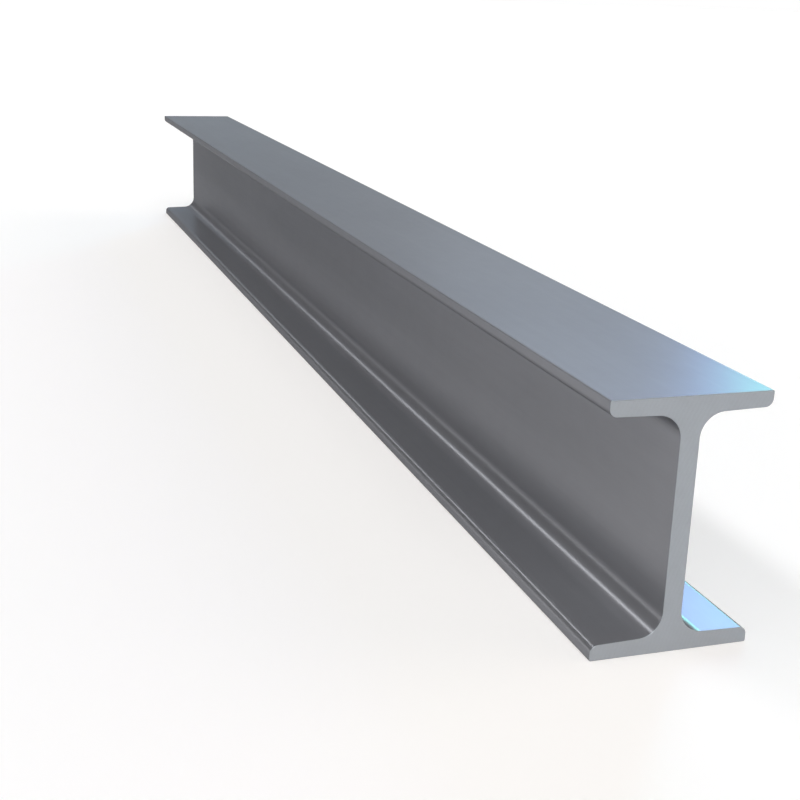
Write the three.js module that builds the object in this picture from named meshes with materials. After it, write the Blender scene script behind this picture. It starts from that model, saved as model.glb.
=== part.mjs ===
// Steel I-beam: one hot-rolled length of I section, sawn square at both ends.
//
// Millimetres, +Z up. The beam stands on its bottom flange and runs along Y. The origin is on the
// underside of the bottom flange, at the middle of the length and of the width.
//
// The section is the rolled kind: the outer faces of the flanges are flat and parallel, their inner
// faces fall away slightly from the web to the toes, the web meets the flanges in root fillets, the
// inner edge of each toe is rounded, and the outer edge is nearly sharp.
import * as THREE from "three";

// Driving dimensions of the section
const sectionHeight = 200; // over the outer faces of both flanges
const flangeWidth = 131; // from toe to toe
const webThickness = 15.5;
const toeThickness = 12.4; // of the flange at its toes, as if they were square
const innerFaceSlope = 0.027; // how much thicker the flange gets for each millimetre towards the web
const rootRadius = 19.3; // fillet between the web and a flange
const toeRadius = 6.3; // inner edge of a toe
const outerEdgeRadius = 1.2; // outer edge of a toe

// Driving dimensions of the length
const beamLength = 2012; // over both sawn ends
const endChamfer = 0.4; // the deburred edge round each sawn end

// Straight steps that stand for each round
const rootSteps = 24;
const toeSteps = 10;
const outerEdgeSteps = 5;

// One round of the section: points from one angle to the other about a centre, both ends included.
function roundPoints(centreX, centreZ, radius, fromAngle, toAngle, steps) {
  const points = [];
  for (let i = 0; i <= steps; i++) {
    const angle = THREE.MathUtils.lerp(fromAngle, toAngle, i / steps);
    points.push(
      new THREE.Vector2(
        centreX + radius * Math.cos(angle),
        centreZ + radius * Math.sin(angle),
      ),
    );
  }
  return points;
}

// The upper right quarter of the section, from the outer edge of the toe to the web. The section's
// centre is at 0, 0. Each round is tangent to the faces on both sides of it.
function quarterOutline() {
  const toeX = flangeWidth / 2;
  const outerFaceZ = sectionHeight / 2;
  const slopeAngle = Math.atan(innerFaceSlope);
  // Height of the line that lies a distance below the sloped inner face, or above it if negative
  const innerFaceZ = (x, below) =>
    outerFaceZ -
    toeThickness -
    innerFaceSlope * (toeX - x) -
    below / Math.cos(slopeAngle);

  const outerEdge = roundPoints(
    toeX - outerEdgeRadius,
    outerFaceZ - outerEdgeRadius,
    outerEdgeRadius,
    Math.PI / 2,
    0,
    outerEdgeSteps,
  );
  const toeCentreX = toeX - toeRadius;
  const toe = roundPoints(
    toeCentreX,
    innerFaceZ(toeCentreX, -toeRadius),
    toeRadius,
    0,
    slopeAngle - Math.PI / 2,
    toeSteps,
  );
  const rootCentreX = webThickness / 2 + rootRadius;
  const root = roundPoints(
    rootCentreX,
    innerFaceZ(rootCentreX, rootRadius),
    rootRadius,
    Math.PI / 2 + slopeAngle,
    Math.PI,
    rootSteps,
  );
  return [...outerEdge, ...toe, ...root];
}

// The whole section: the quarter and its three mirror images, in order round the outline.
function sectionShape() {
  const quarter = quarterOutline();
  const mirrored = (signX, signZ) =>
    quarter.map((p) => new THREE.Vector2(signX * p.x, signZ * p.y));
  return new THREE.Shape([
    ...mirrored(1, 1),
    ...mirrored(1, -1).reverse(),
    ...mirrored(-1, -1),
    ...mirrored(-1, 1).reverse(),
  ]);
}

// The section drawn out to the full length, with a small chamfer round both ends.
function beamGeometry() {
  return new THREE.ExtrudeGeometry(sectionShape(), {
    depth: beamLength - 2 * endChamfer,
    steps: 1,
    bevelEnabled: true,
    bevelThickness: endChamfer,
    bevelSize: endChamfer,
    bevelOffset: -endChamfer,
    bevelSegments: 1,
  });
}

const satinSteel = new THREE.MeshStandardMaterial({
  name: "rolled_steel",
  color: 0x8f959b,
  metalness: 0.9,
  roughness: 0.38,
});

// The extrusion runs along its own Z, so it is turned to lie along Y and set on the origin.
const iBeam = new THREE.Mesh(beamGeometry(), satinSteel);
iBeam.name = "i_beam";
iBeam.rotation.x = Math.PI / 2;
iBeam.position.set(0, beamLength / 2 - endChamfer, sectionHeight / 2);

const group = new THREE.Group();
group.add(iBeam);

export default group;
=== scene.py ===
"""The looks of a rolled steel I-beam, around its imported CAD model: finish, studio and camera.

Metres, in the frame's own axes: the beam stands on its bottom flange and runs along Y, with +Z up.
Angles are in degrees, and azimuths run from +Y towards +X.
"""

import math

import bpy
from mathutils import Matrix, Vector


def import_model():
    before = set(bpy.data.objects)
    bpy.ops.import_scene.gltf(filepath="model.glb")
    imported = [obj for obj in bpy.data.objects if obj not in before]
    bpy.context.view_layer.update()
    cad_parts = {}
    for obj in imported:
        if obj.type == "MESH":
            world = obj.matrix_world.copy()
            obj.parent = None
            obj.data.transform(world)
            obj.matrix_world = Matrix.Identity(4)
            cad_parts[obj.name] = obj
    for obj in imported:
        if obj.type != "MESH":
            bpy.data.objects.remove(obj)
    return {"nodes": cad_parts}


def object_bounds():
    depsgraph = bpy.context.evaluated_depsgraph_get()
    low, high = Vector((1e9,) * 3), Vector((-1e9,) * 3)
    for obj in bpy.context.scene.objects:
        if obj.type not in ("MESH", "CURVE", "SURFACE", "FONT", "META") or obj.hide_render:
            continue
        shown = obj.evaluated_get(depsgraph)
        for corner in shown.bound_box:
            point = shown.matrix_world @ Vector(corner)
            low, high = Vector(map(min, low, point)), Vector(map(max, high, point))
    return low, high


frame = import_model()
cad_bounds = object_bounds()
beam = frame["nodes"]["i_beam"]

# Camera: placed by its distance from the near end of the beam, and aimed by three turns
CAMERA_FROM_NEAR_END = Vector((-0.4878, -0.7900, 0.4667))
CAMERA_HEADING = 18.79  # an azimuth
CAMERA_PITCH = -17.07
CAMERA_ROLL = 2.08
CAMERA_LENS, CAMERA_SENSOR = 60.33, 36  # millimetres
CAMERA_SEES_FROM, CAMERA_SEES_TO = 0.01, 200

# Shading of the mesh: points this close are one, and a turn sharper than this is a real edge
MERGE_DISTANCE = 1e-5
EDGE_ANGLE = 25

# Steel: what the surface gives back face on, and at a grazing angle as a share of that
SKIN_COLOUR = (0.282, 0.286, 0.306)
SAWN_COLOUR = (0.376, 0.397, 0.425)
GRAZING_TINT = 0.25
METALLIC = 0.52
SKIN_ROUGHNESS = 0.25
SAWN_ROUGHNESS = 0.50
SAWN_FACING = 0.6  # a face is sawn where its normal lies along the beam by more than this

# Patterns in the steel: how far each is drawn out along the beam, its features a metre, its detail
PATTERNS = {
    "clouds": (2.5, 9, 4),
    "mottle": (1.6, 70, 4),
    "streaks": (40, 160, 3),
    "lines": (70, 900, 2),
    "grain": (1, 500, 3),
}
PATTERN_ROUGHNESS = 0.55
# Saw marks: shallow arcs about a point beside the section, a little unevenly spaced
SAW_CENTRE = (0.9, 0, -0.25)
SAW_MARKS = {"Scale": 95, "Distortion": 1.2, "Detail": 2, "Detail Scale": 1.5}
# How much each pattern changes the brightness, the roughness and the height of a surface.
# Rolled skin: cloudy oxide film, and streaks and fine lines drawn out by the rolls
SKIN_LIGHT = {"clouds": 0.14, "mottle": 0.07, "streaks": 0.07, "lines": 0.05}
SKIN_ROUGH = {"clouds": -0.06, "mottle": 0.04, "streaks": 0.03, "lines": 0.03}
SKIN_HEIGHT = {"mottle": 0.5, "streaks": 0.5, "lines": 0.35}
# Sawn ends
SAWN_LIGHT = {"arcs": 0.03, "grain": 0.10, "mottle": 0.10}
SAWN_ROUGH = {"arcs": 0.03, "grain": 0.12}
SAWN_HEIGHT = {"arcs": 0.3, "grain": 0.5}
BUMP_STRENGTH = 0.15
BUMP_DISTANCE = 0.0002

# Soft round lamps far away: azimuth, elevation, width, strength and colour
LAMPS = {
    "key_right": (95, 25, 40, 0.50, (1.20, 1.0, 0.80)),
    "fill_front": (-172, 42, 40, 1.05, (1.0, 1.0, 1.0)),
    "back_right": (27, 17, 16, 0.126, (0.84, 1.0, 1.12)),
    "back_wide": (20, 12, 50, 0.61, (0.84, 1.0, 1.14)),
}
# A blue and a cyan window in the world: azimuths from and to, elevations from and to, the soft
# edge of the sides, and the light. The top and the bottom are softer than the sides.
WINDOWS = (
    ((31.8, 38.5), (4, 40), 1.4, (2.8, 3.8, 9.0)),
    ((33.8, 38.5), (4, 20), 1.0, (2.4, 17.0, 8.4)),
)
WINDOW_SOFTER_TOP = 3
# A strip light that runs along the beam on its left, as angles up from the left horizon
STRIP_FROM, STRIP_TO, STRIP_EDGE = 57, 66, 4
STRIP_LIGHT = (4.15, 4.15, 4.15)
STRIP_ENDS = (0.97, 0.995)  # share of its direction that lies along the beam, where it fades out
# A white horizon all round the beam, fading into a grey dome between these elevations
HORIZON_FADE = (18, 25)
HORIZON_LIGHT = (1.0, 1.0, 1.0)
DOME_LIGHT = (0.15, 0.15, 0.15)
# A dark flag on the left behind the beam, which shows in reflections only: its azimuths where it
# meets the floor, how far it leans to the left for each degree up, and its soft edge
FLAG_FROM, FLAG_TO, FLAG_LEAN, FLAG_EDGE = -50, 24, 0.9, 6

FLOOR_HALF = 60
FLOOR_COLOUR = 0.70
FLOOR_GLOW = (0.374, 0.357, 0.343)  # makes the floor white for the camera and in reflections


def node(tree, kind, inputs=None, **settings):
    """Adds a node. Each of its inputs is set to a value, or linked to the socket given for it."""
    made = tree.nodes.new(kind)
    for name, value in settings.items():
        setattr(made, name, value)
    for name, value in (inputs or {}).items():
        if isinstance(value, bpy.types.NodeSocket):
            tree.links.new(value, made.inputs[name])
        else:
            made.inputs[name].default_value = value
    return made


def math_node(tree, operation, a, b):
    return node(tree, "ShaderNodeMath", {0: a, 1: b}, operation=operation).outputs[0]


def add_up(tree, start, terms):
    """start plus each of the (socket, weight) terms."""
    total = start
    for socket, weight in terms:
        total = math_node(tree, "ADD", math_node(tree, "MULTIPLY", socket, weight), total)
    return total


def tinted(tree, colour, brightness):
    return node(
        tree, "ShaderNodeVectorMath", {0: colour, "Scale": brightness}, operation="SCALE"
    ).outputs[0]


def pick(tree, kind, factor, a, b):
    """a where factor is 0, b where it is 1."""
    mix = node(tree, "ShaderNodeMix", {0: factor}, data_type=kind)
    slots = {"FLOAT": (2, 3), "RGBA": (6, 7)}[kind]
    for slot, value in zip(slots, (a, b)):
        tree.links.new(value, mix.inputs[slot])
    return mix.outputs[{"FLOAT": 0, "RGBA": 2}[kind]]


def fade(tree, value, start, end, first, last):
    """first where value is below start, last where it is above end, and a smooth way between."""
    return node(
        tree,
        "ShaderNodeMapRange",
        {"Value": value, "From Min": start, "From Max": end, "To Min": first, "To Max": last},
        interpolation_type="SMOOTHSTEP",
    ).outputs[0]


def between(tree, value, low, high, edge):
    """1 where value, in radians, lies between the two angles, and 0 outside, with soft edges."""
    half = math.radians(edge) / 2
    low, high = math.radians(low), math.radians(high)
    rise = fade(tree, value, low - half, low + half, 0, 1)
    fall = fade(tree, value, high - half, high + half, 1, 0)
    return math_node(tree, "MULTIPLY", rise, fall)


def smooth_rounds_group():
    """Shades the facets of each round as one smooth surface, and leaves real edges sharp."""
    group = bpy.data.node_groups.new("smooth_rounds", "GeometryNodeTree")
    group.interface.new_socket("Geometry", in_out="INPUT", socket_type="NodeSocketGeometry")
    group.interface.new_socket("Geometry", in_out="OUTPUT", socket_type="NodeSocketGeometry")
    group_in = node(group, "NodeGroupInput")
    merge = node(
        group,
        "GeometryNodeMergeByDistance",
        {"Geometry": group_in.outputs[0], "Distance": MERGE_DISTANCE},
    )
    angle = node(group, "GeometryNodeInputMeshEdgeAngle")
    is_edge = node(
        group,
        "FunctionNodeCompare",
        {0: angle.outputs["Unsigned Angle"], 1: math.radians(EDGE_ANGLE)},
        operation="GREATER_THAN",
    )
    normals = node(
        group,
        "GeometryNodeSetMeshNormal",
        {
            "Mesh": merge.outputs["Geometry"],
            "Remove Custom": True,
            "Edge Sharpness": is_edge.outputs["Result"],
            "Face Sharpness": False,
        },
        mode="SHARPNESS",
    )
    node(group, "NodeGroupOutput", {"Geometry": normals.outputs["Mesh"]})
    return group


def smooth_beam():
    rounds = beam.modifiers.new("smooth_rounds", "NODES")
    rounds.node_group = smooth_rounds_group()
    flats = beam.modifiers.new("flat_faces_stay_flat", "WEIGHTED_NORMAL")
    flats.mode = "FACE_AREA"
    flats.keep_sharp = True


def noise(tree, place, stretch, scale, detail):
    """Noise of so many features a metre, stretched along the beam. Its values lie around 0."""
    mapped = node(
        tree, "ShaderNodeMapping", {"Vector": place, "Scale": (1, 1 / stretch, 1)}
    ).outputs[0]
    raw = node(
        tree,
        "ShaderNodeTexNoise",
        {"Vector": mapped, "Scale": scale, "Detail": detail, "Roughness": PATTERN_ROUGHNESS},
    ).outputs[0]
    return math_node(tree, "SUBTRACT", raw, 0.5)


def saw_arcs(tree, place):
    """Arcs about the saw's centre. Their values lie around 0."""
    from_centre = node(
        tree, "ShaderNodeVectorMath", {0: place, 1: SAW_CENTRE}, operation="SUBTRACT"
    ).outputs[0]
    raw = node(
        tree,
        "ShaderNodeTexWave",
        {"Vector": from_centre, **SAW_MARKS},
        wave_type="RINGS",
        rings_direction="Y",
    ).outputs["Fac"]
    return math_node(tree, "SUBTRACT", raw, 0.5)


def steel():
    material = bpy.data.materials.new("rolled_steel")
    material.use_nodes = True
    tree = material.node_tree
    shader = tree.nodes["Principled BSDF"]
    where = node(tree, "ShaderNodeTexCoord")
    place = where.outputs["Object"]
    facing = node(tree, "ShaderNodeSeparateXYZ", {0: where.outputs["Normal"]})
    along = node(tree, "ShaderNodeMath", {0: facing.outputs["Y"]}, operation="ABSOLUTE").outputs[0]
    is_sawn = math_node(tree, "GREATER_THAN", along, SAWN_FACING)

    patterns = {name: noise(tree, place, *shape) for name, shape in PATTERNS.items()}
    patterns["arcs"] = saw_arcs(tree, place)

    def patterned(start, weights):
        return add_up(tree, start, [(patterns[name], share) for name, share in weights.items()])

    colour = pick(
        tree,
        "RGBA",
        is_sawn,
        tinted(tree, SKIN_COLOUR, patterned(1.0, SKIN_LIGHT)),
        tinted(tree, SAWN_COLOUR, patterned(1.0, SAWN_LIGHT)),
    )
    roughness = pick(
        tree,
        "FLOAT",
        is_sawn,
        patterned(SKIN_ROUGHNESS, SKIN_ROUGH),
        patterned(SAWN_ROUGHNESS, SAWN_ROUGH),
    )
    height = pick(
        tree, "FLOAT", is_sawn, patterned(0.0, SKIN_HEIGHT), patterned(0.0, SAWN_HEIGHT)
    )
    bump = node(
        tree,
        "ShaderNodeBump",
        {"Height": height, "Strength": BUMP_STRENGTH, "Distance": BUMP_DISTANCE},
    )
    tree.links.new(colour, shader.inputs["Base Color"])
    tree.links.new(roughness, shader.inputs["Roughness"])
    tree.links.new(bump.outputs[0], shader.inputs["Normal"])
    shader.inputs["Metallic"].default_value = METALLIC
    shader.inputs["Specular IOR Level"].default_value = 0.0
    shader.inputs["Specular Tint"].default_value = (GRAZING_TINT, GRAZING_TINT, GRAZING_TINT, 1)
    return material


def camera():
    data = bpy.data.cameras.new("camera")
    data.sensor_width = CAMERA_SENSOR
    data.lens = CAMERA_LENS
    data.clip_start, data.clip_end = CAMERA_SEES_FROM, CAMERA_SEES_TO
    obj = bpy.data.objects.new("camera", data)
    bpy.context.scene.collection.objects.link(obj)
    near_end = Vector((0, cad_bounds[0].y, 0))
    turn = (
        Matrix.Rotation(math.radians(-CAMERA_HEADING), 4, "Z")
        @ Matrix.Rotation(math.radians(90 + CAMERA_PITCH), 4, "X")
        @ Matrix.Rotation(math.radians(CAMERA_ROLL), 4, "Z")
    )
    obj.matrix_world = Matrix.Translation(near_end + CAMERA_FROM_NEAR_END) @ turn
    bpy.context.scene.camera = obj


def floor():
    """A matt floor with a glow of its own, which only the camera and reflections see."""
    mesh = bpy.data.meshes.new("floor")
    corners = [(x * FLOOR_HALF, y * FLOOR_HALF, 0) for x, y in ((-1, -1), (1, -1), (1, 1), (-1, 1))]
    mesh.from_pydata(corners, [], [(0, 1, 2, 3)])
    obj = bpy.data.objects.new("floor", mesh)
    bpy.context.scene.collection.objects.link(obj)
    material = bpy.data.materials.new("floor")
    material.use_nodes = True
    tree = material.node_tree
    tree.nodes.clear()
    ray = node(tree, "ShaderNodeLightPath")
    seen = math_node(tree, "MAXIMUM", ray.outputs["Is Camera Ray"], ray.outputs["Is Glossy Ray"])
    seen = math_node(tree, "MAXIMUM", seen, ray.outputs["Is Transmission Ray"])
    glow = node(tree, "ShaderNodeEmission", {"Color": (*FLOOR_GLOW, 1), "Strength": seen})
    grey = (FLOOR_COLOUR, FLOOR_COLOUR, FLOOR_COLOUR, 1)
    matt = node(tree, "ShaderNodeBsdfDiffuse", {"Color": grey})
    both = node(tree, "ShaderNodeAddShader", {0: matt.outputs[0], 1: glow.outputs[0]})
    node(tree, "ShaderNodeOutputMaterial", {"Surface": both.outputs[0]})
    obj.data.materials.append(material)


def world():
    studio = bpy.data.worlds.new("studio")
    bpy.context.scene.world = studio
    studio.use_nodes = True
    tree = studio.node_tree
    direction = node(tree, "ShaderNodeTexCoord").outputs["Generated"]
    x, y, z = node(tree, "ShaderNodeSeparateXYZ", {0: direction}).outputs
    azimuth = math_node(tree, "ARCTAN2", x, y)
    elevation = node(tree, "ShaderNodeMath", {0: z}, operation="ARCSINE").outputs[0]
    over_left = math_node(tree, "ARCTAN2", z, math_node(tree, "MULTIPLY", x, -1.0))
    along = node(tree, "ShaderNodeMath", {0: y}, operation="ABSOLUTE").outputs[0]

    reflected = node(tree, "ShaderNodeLightPath").outputs["Is Glossy Ray"]
    leaning = add_up(tree, azimuth, [(elevation, FLAG_LEAN)])
    flag = math_node(
        tree, "MULTIPLY", between(tree, leaning, FLAG_FROM, FLAG_TO, FLAG_EDGE), reflected
    )
    open_sky = math_node(tree, "SUBTRACT", 1.0, flag)
    is_dome = fade(tree, elevation, *map(math.radians, HORIZON_FADE), 0, 1)
    dome = math_node(tree, "MULTIPLY", is_dome, open_sky)
    strip = between(tree, over_left, STRIP_FROM, STRIP_TO, STRIP_EDGE)
    strip = math_node(tree, "MULTIPLY", strip, fade(tree, along, *STRIP_ENDS, 1, 0))
    parts = [
        (math_node(tree, "SUBTRACT", open_sky, dome), HORIZON_LIGHT),
        (dome, DOME_LIGHT),
        (strip, STRIP_LIGHT),
    ]
    for azimuths, elevations, edge, light in WINDOWS:
        wide = between(tree, azimuth, *azimuths, edge)
        tall = between(tree, elevation, *elevations, edge * WINDOW_SOFTER_TOP)
        parts.append((math_node(tree, "MULTIPLY", wide, tall), light))

    total = (0, 0, 0)
    for mask, light in parts:
        total = node(
            tree, "ShaderNodeVectorMath", {0: tinted(tree, light, mask), 1: total}, operation="ADD"
        ).outputs[0]
    tree.links.new(total, tree.nodes["Background"].inputs["Color"])


def lamps():
    for name, (azimuth, elevation, width, strength, colour) in LAMPS.items():
        data = bpy.data.lights.new(name, "SUN")
        data.angle = math.radians(width)
        data.energy = strength
        data.color = colour
        obj = bpy.data.objects.new(name, data)
        bpy.context.scene.collection.objects.link(obj)
        turn = Matrix.Rotation(math.radians(-azimuth), 4, "Z")
        tilt = Matrix.Rotation(math.radians(elevation - 90), 4, "X")
        obj.matrix_world = turn @ tilt


smooth_beam()
beam.data.materials.clear()
beam.data.materials.append(steel())
floor()
world()
lamps()
camera()
bpy.context.scene.view_settings.view_transform = "Standard"
